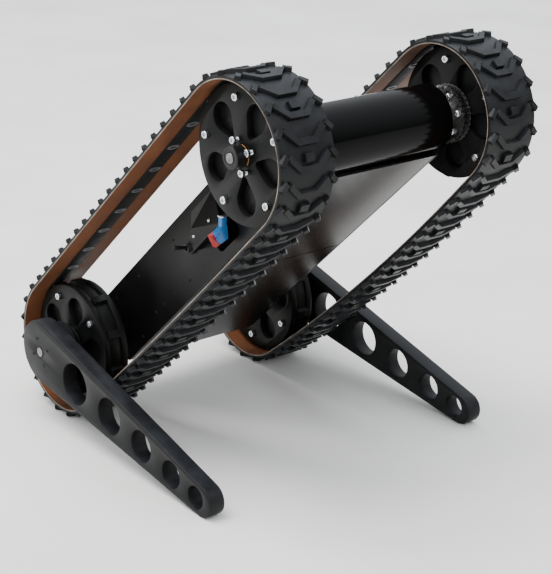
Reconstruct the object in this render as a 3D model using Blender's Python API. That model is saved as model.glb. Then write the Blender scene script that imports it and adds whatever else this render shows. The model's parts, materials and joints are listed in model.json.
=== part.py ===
"""Tracked robot chassis: four wheels in two rubber tracks, with a pair of flipper arms.

The chassis stands reared up, on the idler ends of its tracks and on the tips of its flippers.
World frame: X across the robot, -Y to the front, +Z up, floor at z = 0.
Every part is laid out in the chassis frame, where u runs from the idler axle to the drive axle,
v is the chassis's own "up" and x is across. Dimensions are in millimetres.
"""
import math

import bmesh
import bpy

MM = 0.001

# ---- driving dimensions -------------------------------------------------------------------
TRACK_PITCH = 54.07           # one tooth pocket of the belt
WHEEL_TEETH = 10              # pockets in one full turn of a wheel
RUN_PITCHES = 9.5             # pockets in one straight run
TILT = math.radians(42.7)     # how far the chassis is reared up

AXLE_DISTANCE = RUN_PITCHES * TRACK_PITCH

# ---- tracks and wheels, x measured outwards from the middle plane ---------------------------
TRACK_X = 161.0
TRACK_HALF_WIDTH = 39.0
BELT_INNER = 89.0             # radii round a wheel's axle
BELT_OUTER = 94.0
CLEAT_TOP = 99.0
CLEAT_LENGTH = 11.0
CLEAT_TRAIL = ((12.0, 0.0), (28.0, 13.0), (39.0, 6.8))    # offset from the middle, lag behind it
GUIDE_INNER = 83.2
GUIDE_OUTER = 88.2
GUIDE_FLOOR = 87.6
GUIDE_HALF_WIDTH = 21.5
CHANNEL_HALF_WIDTH = 10.5
LEFT_SAG = 3.0
RIGHT_SAG = 11.0
RIGHT_SHIFT = -3.0            # how far the right belt has crept round its wheels

WHEEL_RADIUS = 82.5
CORE_RADIUS = 80.0
TOOTH_RADIUS = 87.0
TOOTH_LENGTH = 10.0
DISC_OUTER_FACES = (170.5, 179.5)
IDLER_CORE_FACES = (151.8, 170.2)
IDLER_DISC_FACES = (142.5, 151.5)     # the inner discs' own faces
DRIVE_CORE_FACES = (157.8, 170.2)
DRIVE_DISC_FACES = (150.0, 157.5)
SPROCKET_RADIUS = 36.0
CHAIN_RADIUS = 39.6
RIM_BOLT_CIRCLE = 67.0
HUB_BOLT_CIRCLE = 19.3
BOLT_HEAD_RADIUS = 4.8
SPOKES = 5
LEFT_DRIVE_PHASE = 55.5       # degrees from +u towards +v to a rim bolt of each wheel
RIGHT_DRIVE_PHASE = 57.0
LEFT_IDLER_PHASE = -1.5
RIGHT_IDLER_PHASE = 4.0
HUB_BOLT_PHASE = 71.5

AXLE_RADIUS = 6.35
SHAFT_RADIUS = 9.5
SHAFT_END_RADIUS = 6.5
CLEARANCE = 0.35
GAP = 0.3

# ---- body ---------------------------------------------------------------------------------
PLATE_OUTER = 108.0
PLATE_INNER = 104.0
BELLY_V = -46.0
TOP_V = 48.0
BODY_U = (2.0, 500.0)
NOSE = ((2.0, BELLY_V), (-34.0, -10.0), (-34.0, 22.0), (-8.0, TOP_V))
BELLY_SEAM_U = 260.0
SHEET = 3.0
TUBE_RADIUS = 41.8
TUBE_BORE = 38.4
TUBE_HALF_LENGTH = 112.0
POCKET = (300.0, 356.0, -32.0, 24.0)
SWITCH_PLACE = (251.5, 3.5)

# ---- flippers -----------------------------------------------------------------------------
ARM_FACES = (207.2, 230.2)
ARM_LENGTH = 368.7
ARM_ROOT_RADIUS = 43.5
ARM_TIP_RADIUS = 20.2
ARM_CHAMFER = 2.5
ARM_HOLES = ((86.6, 27.9), (168.7, 24.7), (241.4, 21.0), (307.0, 17.9), (358.5, 14.7))

IDLER_HEIGHT = CLEAT_TOP
IDLER_Y = 0.5 * AXLE_DISTANCE * math.cos(TILT)
FLIPPER_DROP = math.asin((IDLER_HEIGHT - ARM_TIP_RADIUS) / ARM_LENGTH)


def clear_scene():
    for item in list(bpy.data.objects):
        bpy.data.objects.remove(item, do_unlink=True)


def material(name, colour, roughness, metallic=0.0):
    found = bpy.data.materials.new(name)
    found.use_nodes = True
    shader = found.node_tree.nodes["Principled BSDF"]
    shader.inputs["Base Color"].default_value = (*colour, 1.0)
    shader.inputs["Roughness"].default_value = roughness
    shader.inputs["Metallic"].default_value = metallic
    return found


BLACK_PAINT = ((0.02, 0.02, 0.022), 0.25)
RUBBER = ((0.045, 0.045, 0.05), 0.7)
NYLON = ((0.05, 0.05, 0.052), 0.5)
STEEL = ((0.6, 0.6, 0.6), 0.3, 1.0)


def empty(name, location, tilt, parent=None):
    frame = bpy.data.objects.new(name, None)
    bpy.context.collection.objects.link(frame)
    frame.location = [value * MM for value in location]
    frame.rotation_euler = (tilt, 0.0, 0.0)
    frame.parent = parent
    return frame


def finish_object(name, bm, parent, look=None, smooth=True):
    """Turn a bmesh in (x, u, v) millimetres into an object; without a look it is a cutter."""
    for vert in bm.verts:
        x, u, v = vert.co
        vert.co = (x * MM, -u * MM, v * MM)
    bmesh.ops.recalc_face_normals(bm, faces=bm.faces)
    mesh = bpy.data.meshes.new(name)
    bm.to_mesh(mesh)
    bm.free()
    item = bpy.data.objects.new(name, mesh)
    bpy.context.collection.objects.link(item)
    item.parent = parent
    if look is None:
        item.hide_render = True
        item.display_type = "WIRE"
        return item
    mesh.materials.append(material(name, *look))
    if smooth:
        mesh.shade_smooth()
        mesh.set_sharp_from_angle(angle=math.radians(35))
    return item


def boolean(item, tool, operation):
    step = item.modifiers.new(operation.lower(), "BOOLEAN")
    step.operation = operation
    step.solver = "EXACT"
    step.object = tool


# ---- outlines in the (u, v) plane -----------------------------------------------------------
def arc(centre, radius, start, end, count):
    """Points from start to end, in degrees from +u towards +v, both ends included."""
    steps = [math.radians(start + (end - start) * i / count) for i in range(count + 1)]
    return [(centre[0] + radius * math.cos(a), centre[1] + radius * math.sin(a)) for a in steps]


def circle(centre, radius, count=24):
    return arc(centre, radius, 0.0, 360.0, count)[:-1]


def rectangle(u0, u1, v0, v1):
    return [(u0, v0), (u1, v0), (u1, v1), (u0, v1)]


def capsule(first, first_radius, second, second_radius, heading, counts):
    """Tapered slot outline round two circles, the second one lying at heading degrees."""
    span = math.hypot(second[0] - first[0], second[1] - first[1])
    lean = math.degrees(math.acos((first_radius - second_radius) / span))
    return (arc(second, second_radius, heading - lean, heading + lean, counts[1])
            + arc(first, first_radius, heading + lean, heading + 360.0 - lean, counts[0]))


def polar(radius, degrees):
    angle = math.radians(degrees)
    return radius * math.cos(angle), radius * math.sin(angle)


# ---- solids -------------------------------------------------------------------------------
def add_prism(bm, outline, x0, x1):
    low = [bm.verts.new((x0, u, v)) for u, v in outline]
    high = [bm.verts.new((x1, u, v)) for u, v in outline]
    bm.faces.new(low)
    bm.faces.new(high)
    for i in range(len(outline)):
        j = (i + 1) % len(outline)
        bm.faces.new((low[i], low[j], high[j], high[i]))


def prism(name, outlines, x0, x1, parent, look=None):
    bm = bmesh.new()
    for outline in outlines:
        add_prism(bm, outline, x0, x1)
    return finish_object(name, bm, parent, look)


def loft(name, sections, parent, look):
    """Closed solid through (x, outline) sections that share one point count."""
    bm = bmesh.new()
    rings = [[bm.verts.new((x, u, v)) for u, v in outline] for x, outline in sections]
    bm.faces.new(rings[0])
    bm.faces.new(rings[-1])
    for low, high in zip(rings, rings[1:]):
        for i in range(len(low)):
            j = (i + 1) % len(low)
            bm.faces.new((low[i], low[j], high[j], high[i]))
    return finish_object(name, bm, parent, look)


def turned(name, profile, parent, look, count=32, centre=(0.0, 0.0)):
    """Ring turned about the X axis from a closed (x, radius) profile that keeps off the axis."""
    bm = bmesh.new()
    rings = []
    for i in range(count):
        cos, sin = polar(1.0, 360.0 * i / count)
        rings.append([bm.verts.new((x, centre[0] + r * cos, centre[1] + r * sin)) for x, r in profile])
    for i in range(count):
        near, far = rings[i], rings[(i + 1) % count]
        for k in range(len(profile)):
            m = (k + 1) % len(profile)
            bm.faces.new((near[k], near[m], far[m], far[k]))
    return finish_object(name, bm, parent, look)


def bar(name, stations, parent, look, count=32, centre=(0.0, 0.0)):
    """Solid turned bar from (x, radius) stations."""
    sections = [(x, circle(centre, radius, count)) for x, radius in stations]
    return loft(name, sections, parent, look)


def block(name, x0, x1, u0, u1, v0, v1, parent, look=None):
    return prism(name, [rectangle(u0, u1, v0, v1)], x0, x1, parent, look)


# ---- tracks -------------------------------------------------------------------------------
def track_point(distance, radius, sag):
    """Point of the loop at a belt distance from the idler's underside, at a radius."""
    wrap = WHEEL_TEETH / 2 * TRACK_PITCH
    total = 2 * (wrap + AXLE_DISTANCE)
    s = distance % total
    if s < wrap:
        return polar(radius, 270.0 - 180.0 * s / wrap)
    s -= wrap
    if s < AXLE_DISTANCE:
        return s, radius
    s -= AXLE_DISTANCE
    if s < wrap:
        u, v = polar(radius, 90.0 - 180.0 * s / wrap)
        return u + AXLE_DISTANCE, v
    t = (s - wrap) / AXLE_DISTANCE
    return AXLE_DISTANCE * (1.0 - t), -radius - 4.0 * sag * t * (1.0 - t)


def track_belt(name, side, sag, shift, parent):
    """Flat belt with a chevron cleat every half pitch."""
    bm = bmesh.new()
    cleats = round(2 * (WHEEL_TEETH + 2 * RUN_PITCHES))
    columns = [-x for x, _ in reversed(CLEAT_TRAIL)] + [x for x, _ in CLEAT_TRAIL]
    trail = dict(CLEAT_TRAIL)

    def vertex(x, distance, radius):
        u, v = track_point(distance + shift - trail[abs(x)], radius, sag)
        return bm.verts.new((side * TRACK_X + x, u, v))

    rows = []
    inner = []
    for i in range(cleats):
        start = i * TRACK_PITCH / 2
        end = start + CLEAT_LENGTH
        for distance, radius in ((start, BELT_OUTER), (start + 1.0, CLEAT_TOP),
                                 (end - 1.0, CLEAT_TOP), (end, BELT_OUTER)):
            rows.append([vertex(x, distance, radius) for x in columns])
        for distance in (start, end):
            inner.append([vertex(x, distance, BELT_INNER) for x in (columns[0], columns[-1])])
    for i, row in enumerate(rows):
        after = rows[(i + 1) % len(rows)]
        for k in range(len(columns) - 1):
            bm.faces.new((row[k], row[k + 1], after[k + 1], after[k]))
    for i, row in enumerate(inner):
        after = inner[(i + 1) % len(inner)]
        bm.faces.new((row[0], row[1], after[1], after[0]))
    for edge, column in ((0, 0), (1, len(columns) - 1)):
        for i in range(cleats):
            cleat = [rows[4 * i + k][column] for k in range(4)]
            bm.faces.new([inner[2 * i][edge], *cleat, inner[2 * i + 1][edge]])
            after = (i + 1) % cleats
            bm.faces.new((inner[2 * i + 1][edge], cleat[3],
                          rows[4 * after][column], inner[2 * after][edge]))
    return finish_object(name, bm, parent, RUBBER)


def guide_strip(name, side, sag, parent):
    """Raised strip inside the belt, with the channel that the wheel teeth run in."""
    wall, channel = GUIDE_HALF_WIDTH, CHANNEL_HALF_WIDTH
    section = ((-wall, GUIDE_OUTER), (-wall, GUIDE_INNER), (-channel, GUIDE_INNER),
               (-channel, GUIDE_FLOOR), (channel, GUIDE_FLOOR), (channel, GUIDE_INNER),
               (wall, GUIDE_INNER), (wall, GUIDE_OUTER))
    wrap = WHEEL_TEETH / 2 * TRACK_PITCH
    wrap_steps, sag_steps = 18, 6
    stations = [wrap * i / wrap_steps for i in range(wrap_steps + 1)]
    stations += [wrap + AXLE_DISTANCE + wrap * i / wrap_steps for i in range(wrap_steps + 1)]
    stations += [2 * wrap + AXLE_DISTANCE * (1 + i / sag_steps) for i in range(1, sag_steps)]
    bm = bmesh.new()
    rings = []
    for distance in stations:
        points = [(x, *track_point(distance, radius, sag)) for x, radius in section]
        rings.append([bm.verts.new((side * TRACK_X + x, u, v)) for x, u, v in points])
    for i, near in enumerate(rings):
        far = rings[(i + 1) % len(rings)]
        for k in range(len(section)):
            m = (k + 1) % len(section)
            bm.faces.new((near[k], near[m], far[m], far[k]))
    return finish_object(name, bm, parent, RUBBER)


# ---- wheels -------------------------------------------------------------------------------
def spoke_angles(phase):
    return [phase + 360.0 * i / SPOKES for i in range(SPOKES)]


def teardrops(phase):
    """Lightening pockets, narrow towards the hub, halfway between the rim bolts."""
    outlines = []
    for angle in spoke_angles(phase + 180.0 / SPOKES):
        outlines.append(capsule(polar(53.0, angle), 17.0, polar(29.0, angle), 4.5, angle + 180.0, (6, 2)))
    return outlines


def wheel_disc(name, side, faces, radius, bore, phase, head_side, hub_heads, parent):
    """Side disc of a wheel with its pockets, its bore and its bolt heads."""
    x0, x1 = side * faces[0], side * faces[1]
    disc = prism(name, [circle((0, 0), radius, 36)], x0, x1, parent, NYLON)
    reach = side * 1.0
    openings = [circle((0, 0), bore, 16)] + teardrops(phase)
    boolean(disc, prism("cut_" + name, openings, x0 - reach, x1 + reach, parent), "DIFFERENCE")
    face = x1 if head_side > 0 else x0
    out = side * head_side
    heads = [circle(polar(RIM_BOLT_CIRCLE, a), BOLT_HEAD_RADIUS, 6) for a in spoke_angles(phase)]
    boolean(disc, prism("bolts_" + name, heads, face - out, face + out * 5.0, parent), "UNION")
    if hub_heads:
        places = [polar(HUB_BOLT_CIRCLE, HUB_BOLT_PHASE + 90.0 * i) for i in range(4)]
        heads = [circle(place, BOLT_HEAD_RADIUS, 6) for place in places]
        boolean(disc, prism("hub_bolts_" + name, heads, face - out, face + out * 9.0, parent), "UNION")
    return disc


def wheel_core(name, side, faces, bore, phase, parent):
    """Toothed core clamped between the two discs; its web is the floor of their pockets."""
    half = math.degrees(TOOTH_LENGTH / 2 / TOOTH_RADIUS)
    step = 360.0 / WHEEL_TEETH
    outline = []
    for i in range(WHEEL_TEETH):
        middle = phase + step * (i + 0.5)
        outline += arc((0, 0), TOOTH_RADIUS, middle - half, middle + half, 1)
        outline += arc((0, 0), CORE_RADIUS, middle + half + 0.6, middle + step - half - 0.6, 2)
    core = prism(name, [outline], side * faces[0], side * faces[1], parent, NYLON)
    openings = [circle((0, 0), bore, 16)]
    boolean(core, prism("cut_" + name, openings, side * 148.0, side * 172.0, parent), "DIFFERENCE")


def drive_wheel(label, side, axle, bolt_phase):
    bore = AXLE_RADIUS + CLEARANCE
    wheel_core(label + "_drive_wheel_core", side, DRIVE_CORE_FACES, bore, bolt_phase, axle)
    wheel_disc(label + "_drive_wheel_outer_disc", side, DISC_OUTER_FACES, WHEEL_RADIUS, bore,
               bolt_phase, 1, True, axle)
    wheel_disc(label + "_drive_wheel_inner_disc", side, DRIVE_DISC_FACES, WHEEL_RADIUS, bore,
               bolt_phase, -1, False, axle)
    bar(label + "_drive_axle", [(side * 99.0, AXLE_RADIUS), (side * 198.0, AXLE_RADIUS)], axle,
        STEEL, 20)
    turned(label + "_thrust_washer",
           [(side * x, r) for x, r in ((179.8, bore), (179.8, 13.8), (181.2, 13.8), (181.2, bore))],
           axle, ((0.45, 0.25, 0.1), 0.35, 1.0), 16)
    turned(label + "_axle_collar",
           [(side * x, r) for x, r in ((181.5, bore), (181.5, 14.0), (196.5, 14.0), (197.3, 13.2),
                                       (197.3, bore))],
           axle, ((0.06, 0.06, 0.06), 0.4, 0.6), 20)
    coupling(label, side, axle)


def coupling(label, side, axle):
    """Roller-chain coupling: a sprocket on the motor shaft, one on the wheel, one chain round both."""
    bore = AXLE_RADIUS + CLEARANCE
    rim = SPROCKET_RADIUS
    motor = ((117.5, bore), (117.5, 16.0), (137.0, 16.0), (137.0, rim), (140.0, rim), (140.0, bore))
    wheel = ((143.4, bore), (143.4, rim), (146.4, rim), (146.4, 20.0), (149.7, 20.0), (149.7, bore))
    chain = ((135.8, rim + 0.4), (135.8, CHAIN_RADIUS), (147.6, CHAIN_RADIUS), (147.6, rim + 0.4))
    for part, profile in (("motor_sprocket", motor), ("wheel_sprocket", wheel), ("coupling_chain", chain)):
        turned(f"{label}_{part}", [(side * x, r) for x, r in profile], axle, STEEL, 24)


def idler_wheel(label, side, axle, bolt_phase):
    bore = 20.9
    wheel_core(label + "_idler_wheel_core", side, IDLER_CORE_FACES, bore, bolt_phase, axle)
    wheel_disc(label + "_idler_wheel_outer_disc", side, DISC_OUTER_FACES, WHEEL_RADIUS, bore,
               bolt_phase, 1, False, axle)
    wheel_disc(label + "_idler_wheel_inner_disc", side, IDLER_DISC_FACES, WHEEL_RADIUS, bore,
               bolt_phase, -1, False, axle)
    inner = SHAFT_RADIUS + CLEARANCE
    profile = ((139.0, inner), (139.0, 18.0), (142.0, 20.0), (180.0, 20.0), (180.0, 26.0),
               (183.0, 26.0), (183.0, inner))
    turned(label + "_idler_hub", [(side * x, r) for x, r in profile], axle, NYLON, 20)


# ---- body ---------------------------------------------------------------------------------
def plate_outline():
    """Side plate with a chamfered nose and a saddle that hugs the drive tube."""
    saddle = TUBE_RADIUS + GAP + 0.2
    lean = math.degrees(math.acos((AXLE_DISTANCE - BODY_U[1]) / saddle))
    tube = (AXLE_DISTANCE, 0.0)
    return [(BODY_U[1], BELLY_V), *arc(tube, saddle, 180.0 + lean, 180.0 - lean, 12),
            (BODY_U[1], TOP_V), *reversed(NOSE)]


def side_plate(label, side, chassis):
    plate = prism(label + "_side_plate", [plate_outline()], side * PLATE_INNER,
                  side * PLATE_OUTER, chassis, BLACK_PAINT)
    openings = [circle((0, 0), 16.4)]
    if label == "left":
        u0, u1, v0, v1 = POCKET
        corner = 8.0
        openings.append([*arc((u1 - corner, v0 + corner), corner, -90, 0, 3),
                         *arc((u1 - corner, v1 - corner), corner, 0, 90, 3),
                         *arc((u0 + corner, v1 - corner), corner, 90, 180, 3),
                         *arc((u0 + corner, v0 + corner), corner, 180, 270, 3)])
        openings.append(circle(SWITCH_PLACE, 6.4, 16))
    boolean(plate, prism("cut_" + label + "_plate", openings, side * 100.0, side * 112.0, chassis),
            "DIFFERENCE")
    turned(label + "_shaft_bearing",
           [(side * x, r) for x, r in ((98.0, SHAFT_RADIUS + CLEARANCE), (98.0, 16.0), (108.4, 16.0),
                                       (108.4, 21.0), (111.5, 21.0), (111.5, SHAFT_RADIUS + CLEARANCE))],
           chassis, STEEL, 20)


def sheet_panel(name, first, second, chassis):
    """Flat panel of the body between the side plates, from one (u, v) edge to the other."""
    (u0, v0), (u1, v1) = first, second
    span = math.hypot(u1 - u0, v1 - v0)
    inward = (-(v1 - v0) / span * SHEET, (u1 - u0) / span * SHEET)
    outline = [(u0, v0), (u1, v1), (u1 + inward[0], v1 + inward[1]), (u0 + inward[0], v0 + inward[1])]
    half = PLATE_INNER - GAP
    return prism(name, [outline], -half, half, chassis, BLACK_PAINT)


def body(chassis):
    for label, side in (("left", -1), ("right", 1)):
        side_plate(label, side, chassis)
    sheet_panel("belly_panel_rear", (BODY_U[0], BELLY_V), (BELLY_SEAM_U - 0.8, BELLY_V), chassis)
    sheet_panel("belly_panel_front", (BELLY_SEAM_U + 0.8, BELLY_V), (BODY_U[1], BELLY_V), chassis)
    sheet_panel("top_cover", (BODY_U[1], TOP_V), (NOSE[3][0] + 2.0, TOP_V), chassis)
    half = PLATE_INNER - GAP
    thick = SHEET
    outer = [(-0.5, -43.5), NOSE[1], NOSE[2], (-9.0, 47.0)]
    inner = [(-10.0 + thick, 45.5 - thick), (-34.0 + thick, 21.0), (-34.0 + thick, -9.0), (1.0, -40.5)]
    prism("nose_panel", [outer + inner], -half, half, chassis, BLACK_PAINT)


def drive_tube(chassis):
    centre = (AXLE_DISTANCE, 0.0)
    half = TUBE_HALF_LENGTH
    turned("drive_tube", [(-half, TUBE_BORE), (-half, TUBE_RADIUS), (half, TUBE_RADIUS), (half, TUBE_BORE)],
           chassis, BLACK_PAINT, 40, centre)
    for label, side in (("left", -1), ("right", 1)):
        bore = AXLE_RADIUS + CLEARANCE
        profile = ((105.0, bore), (105.0, TUBE_BORE - 0.5), (111.0, TUBE_BORE - 0.5), (114.0, 34.0),
                   (114.0, bore))
        turned(label + "_tube_cap", [(side * x, r) for x, r in profile], chassis, BLACK_PAINT, 20, centre)
        bar(label + "_drive_gearmotor", [(side * 6.0, 29.0), (side * 60.0, 29.0), (side * 60.5, 31.0),
                                         (side * 98.0, 31.0)], chassis, STEEL, 20, centre)


def electrics(chassis):
    block("battery_left", -94.0, -4.0, 170.0, 290.0, -42.0, 30.0, chassis, ((0.03, 0.05, 0.12), 0.5))
    block("battery_right", 4.0, 94.0, 170.0, 290.0, -42.0, 30.0, chassis, ((0.03, 0.05, 0.12), 0.5))
    block("motor_controller", -70.0, 98.0, 310.0, 440.0, -42.0, -18.0, chassis, ((0.3, 0.3, 0.32), 0.4, 1.0))
    block("radio_receiver", 30.0, 90.0, 330.0, 400.0, -10.0, 8.0, chassis, ((0.02, 0.02, 0.02), 0.5))
    gearbox = block("flipper_gearbox", -36.0, 36.0, -14.0, 34.0, -22.0, 30.0, chassis,
                    ((0.35, 0.35, 0.36), 0.4, 1.0))
    bore = prism("cut_gearbox", [circle((0, 0), SHAFT_RADIUS + CLEARANCE, 28)], -40.0, 40.0, chassis)
    boolean(gearbox, bore, "DIFFERENCE")
    prism("flipper_motor", [rectangle(34.4, 150.0, -22.0, 26.0)], -24.0, 24.0, chassis,
          ((0.3, 0.3, 0.3), 0.35, 1.0))


def connector_bay(chassis):
    """Folded bracket, the two power connectors in the pocket, and the power switch."""
    outline = [(270.0, -9.0), (345.0, -9.0), (345.0, 38.0), (284.0, 38.0), (284.0, 16.0), (270.0, 10.0)]
    bm = bmesh.new()
    outer = [bm.verts.new((-108.3, u, v)) for u, v in outline]
    face = [bm.verts.new((-121.0 if v < 20.0 else -109.5, u, v)) for u, v in outline]
    bm.faces.new(outer)
    bm.faces.new((face[0], face[1], face[4], face[5]))
    bm.faces.new((face[1], face[2], face[4]))
    bm.faces.new((face[2], face[3], face[4]))
    for i in range(len(outline)):
        j = (i + 1) % len(outline)
        bm.faces.new((outer[i], outer[j], face[j], face[i]))
    finish_object("connector_bracket", bm, chassis, BLACK_PAINT, False)
    hang = empty("connector_frame", (-130.0, -341.0, -18.0), TILT, chassis)
    block("connector_tab", 4.0, 17.0, -3.0, 5.0, 18.3, 20.0, hang, STEEL)
    block("blue_power_connector", -1.0, 13.5, -3.0, 5.0, -16.0, 18.0, hang, ((0.02, 0.22, 0.6), 0.4))
    block("red_power_connector", -2.0, 13.0, -12.3, -4.3, -24.0, -4.0, hang, ((0.6, 0.02, 0.03), 0.4))
    turned("power_switch_body",
           [(-96.0, 3.4), (-96.0, 6.0), (-108.3, 6.0), (-108.3, 9.0), (-112.0, 9.0), (-112.0, 6.0),
            (-118.0, 6.0), (-118.0, 3.4)], chassis, STEEL, 12, SWITCH_PLACE)
    lever = empty("lever_pivot", (-113.0, -SWITCH_PLACE[0], SWITCH_PLACE[1]), 0.0, chassis)
    lever.rotation_euler = (0.0, math.radians(12.0), 0.0)
    bar("power_switch_lever", [(1.5, 1.8), (-5.0, 1.8), (-21.0, 3.2), (-22.5, 2.4)], lever, STEEL, 12)


# ---- flippers -----------------------------------------------------------------------------
def arm_outline(inset):
    return capsule((0.0, 0.0), ARM_ROOT_RADIUS - inset, (ARM_LENGTH, 0.0), ARM_TIP_RADIUS - inset, 0.0,
                   (14, 8))


def flipper_arm(label, side, pivot):
    inner, outer = ARM_FACES
    sections = [(side * inner, arm_outline(ARM_CHAMFER)), (side * (inner + ARM_CHAMFER), arm_outline(0.0)),
                (side * (outer - ARM_CHAMFER), arm_outline(0.0)), (side * outer, arm_outline(ARM_CHAMFER))]
    arm = loft(label + "_flipper_arm", sections, pivot, NYLON)
    holes = [circle((u, 0.0), r, 20) for u, r in ARM_HOLES]
    holes.append(circle((0.0, 0.0), SHAFT_END_RADIUS + GAP, 16))
    boolean(arm, prism("cut_" + label + "_arm", holes, side * 200.0, side * 240.0, pivot), "DIFFERENCE")
    turned(label + "_flipper_hub",
           [(side * x, r) for x, r in ((184.0, SHAFT_RADIUS + GAP), (184.0, 28.0), (190.0, 34.0),
                                       (206.9, 34.0), (206.9, SHAFT_RADIUS + GAP))], pivot, NYLON, 24)


def flippers(pivot):
    bar("flipper_shaft", [(-230.6, SHAFT_END_RADIUS), (-206.8, SHAFT_END_RADIUS), (-206.7, SHAFT_RADIUS),
                          (206.7, SHAFT_RADIUS), (206.8, SHAFT_END_RADIUS), (230.6, SHAFT_END_RADIUS)],
        pivot, STEEL, 20)
    for label, side in (("left", -1), ("right", 1)):
        flipper_arm(label, side, pivot)


def main():
    clear_scene()
    chassis = empty("chassis_frame", (0.0, IDLER_Y, IDLER_HEIGHT), -TILT)
    flipper_pivot = empty("flipper_axle", (0.0, IDLER_Y, IDLER_HEIGHT), FLIPPER_DROP)
    drive_axle = empty("drive_axle_frame", (0.0, -AXLE_DISTANCE, 0.0), 0.0, chassis)
    idler_axle = empty("idler_axle_frame", (0.0, 0.0, 0.0), 0.0, chassis)
    body(chassis)
    drive_tube(chassis)
    electrics(chassis)
    connector_bay(chassis)
    for label, side, sag, shift in (("left", -1, LEFT_SAG, 0.0), ("right", 1, RIGHT_SAG, RIGHT_SHIFT)):
        track_belt(label + "_track_belt", side, sag, shift, chassis)
        guide_strip(label + "_track_guide", side, sag, chassis)
    drive_wheel("left", -1, drive_axle, LEFT_DRIVE_PHASE)
    drive_wheel("right", 1, drive_axle, RIGHT_DRIVE_PHASE)
    idler_wheel("left", -1, idler_axle, LEFT_IDLER_PHASE)
    idler_wheel("right", 1, idler_axle, RIGHT_IDLER_PHASE)
    flippers(flipper_pivot)


main()
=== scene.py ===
"""Tracked robot chassis with two flipper arms.

Shapes are laid out in millimetres as (x, u, v): x runs across the robot, u along a layout and v is
its "up". The chassis layouts run from the idler axle to the drive axle, the flipper layout along
the arm, and the connector layout hangs level. The mesh of a piece is stored from its layout's origin.
"""
import json
import math

import bmesh
import bpy
from mathutils import Matrix, Vector


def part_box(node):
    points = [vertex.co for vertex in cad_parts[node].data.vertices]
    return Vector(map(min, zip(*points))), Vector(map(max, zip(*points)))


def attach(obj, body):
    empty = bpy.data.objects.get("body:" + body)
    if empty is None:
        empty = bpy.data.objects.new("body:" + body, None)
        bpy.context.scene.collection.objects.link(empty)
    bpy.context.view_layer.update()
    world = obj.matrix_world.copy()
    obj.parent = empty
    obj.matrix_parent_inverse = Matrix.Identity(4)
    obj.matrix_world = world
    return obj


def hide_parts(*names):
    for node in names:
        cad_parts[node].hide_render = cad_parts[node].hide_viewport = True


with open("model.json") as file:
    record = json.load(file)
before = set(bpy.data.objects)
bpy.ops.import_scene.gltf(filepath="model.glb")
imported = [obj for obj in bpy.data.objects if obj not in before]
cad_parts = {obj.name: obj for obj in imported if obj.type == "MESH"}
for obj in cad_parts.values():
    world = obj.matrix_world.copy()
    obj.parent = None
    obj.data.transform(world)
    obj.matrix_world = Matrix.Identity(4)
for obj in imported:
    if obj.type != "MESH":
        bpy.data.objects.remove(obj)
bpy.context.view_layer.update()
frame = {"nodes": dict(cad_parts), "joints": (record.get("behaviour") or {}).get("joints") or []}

MM = 0.001
LEFT, RIGHT = -1, 1
SIDES = (("left", LEFT), ("right", RIGHT))
JOINTS = {joint["name"]: Vector(joint["pos_m"]) for joint in frame["joints"]}

# ---- tracks -------------------------------------------------------------------------------
TRACK_X = 161.0
HALF_WIDTH = 39.0
BELT_INNER = 89.0             # radii round a wheel's axle
BELT_PLY = 90.5
BELT_OUTER = 94.0
CLEAT_BASE = 93.6
LUG_EDGE = (0.22, 0.14)       # shares of a lug's slope and height that its edge takes
CLEAT_TOP = 99.0
WHEEL_TEETH = 10
RUN_PITCHES = 9.5
SAG = {LEFT: 3.0, RIGHT: 11.0}
SHIFT = {LEFT: 0.0, RIGHT: -3.0}
GUIDE_HALF_WIDTH = 11.5
GUIDE_FACE = 88.0
LIP_TOP = 87.15
LIP_REACH = 9.0

# ---- wheels -------------------------------------------------------------------------------
WHEEL_RADIUS = 82.5
CORE_RADIUS = 80.0
TOOTH_RADIUS = 87.0
TOOTH_LENGTH = 10.0
SPOKES = 5
POCKET_WIDE = (53.0, 17.0)    # circle centre and radius at each end of a pocket
POCKET_NARROW = (29.0, 4.5)
DISC_THICKNESS = 9.0
DISC_EDGE = 1.1
RIM_BOLT_CIRCLE = 67.0
HUB_BOLT_CIRCLE = 19.3
HUB_BOLT_PHASE = 71.5
BOLT_HEAD = 4.75
BOLT_PHASE = {"left_drive": 55.5, "right_drive": 57.0, "left_idler": -1.5, "right_idler": 4.0}
DRIVE_BORE = 6.7
IDLER_BORE = 20.9
SHAFT_BORE = 9.85
CORE_EDGE = 0.7
BOLT_STAND = 5.0              # how far the rim bolts stand out of the inner disc
CLAMP_GAP = 0.3
COLLAR = ((181.5, DRIVE_BORE), (181.5, 13.4), (182.1, 14.0), (196.4, 14.0), (197.3, 13.1), (197.3, 10.6),
          (196.8, 10.2), (196.8, 7.3), (196.2, DRIVE_BORE))
AXLE = ((99.0, 0.0), (99.0, 6.35), (197.4, 6.35), (198.0, 5.7), (198.0, 1.6), (197.2, 0.0))
THRUST_WASHER = ((179.8, DRIVE_BORE), (179.8, 13.4), (180.1, 13.8), (180.9, 13.8), (181.2, 13.4),
                 (181.2, DRIVE_BORE))
IDLER_HUB = ((139.0, SHAFT_BORE), (139.0, 17.4), (139.6, 18.0), (142.0, 20.0), (180.0, 20.0), (180.0, 25.2),
             (180.8, 26.0), (182.2, 26.0), (183.0, 25.2), (183.0, SHAFT_BORE))
IDLER_HUB_FACE = 183.0
SPROCKET_TEETH = 34
CHAIN_PITCH = 6.35
CHAIN_ROWS = (138.5, 144.9)
CHAIN_WHEELS = (("motor", 138.5, 16.0, 117.5), ("wheel", 144.9, 20.0, 149.7))   # row, hub radius, hub end
CHAIN_WHEEL_WIDTH = 2.6
SCREW_SIDES = 24
WASHER_THICKNESS = 0.7

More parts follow.
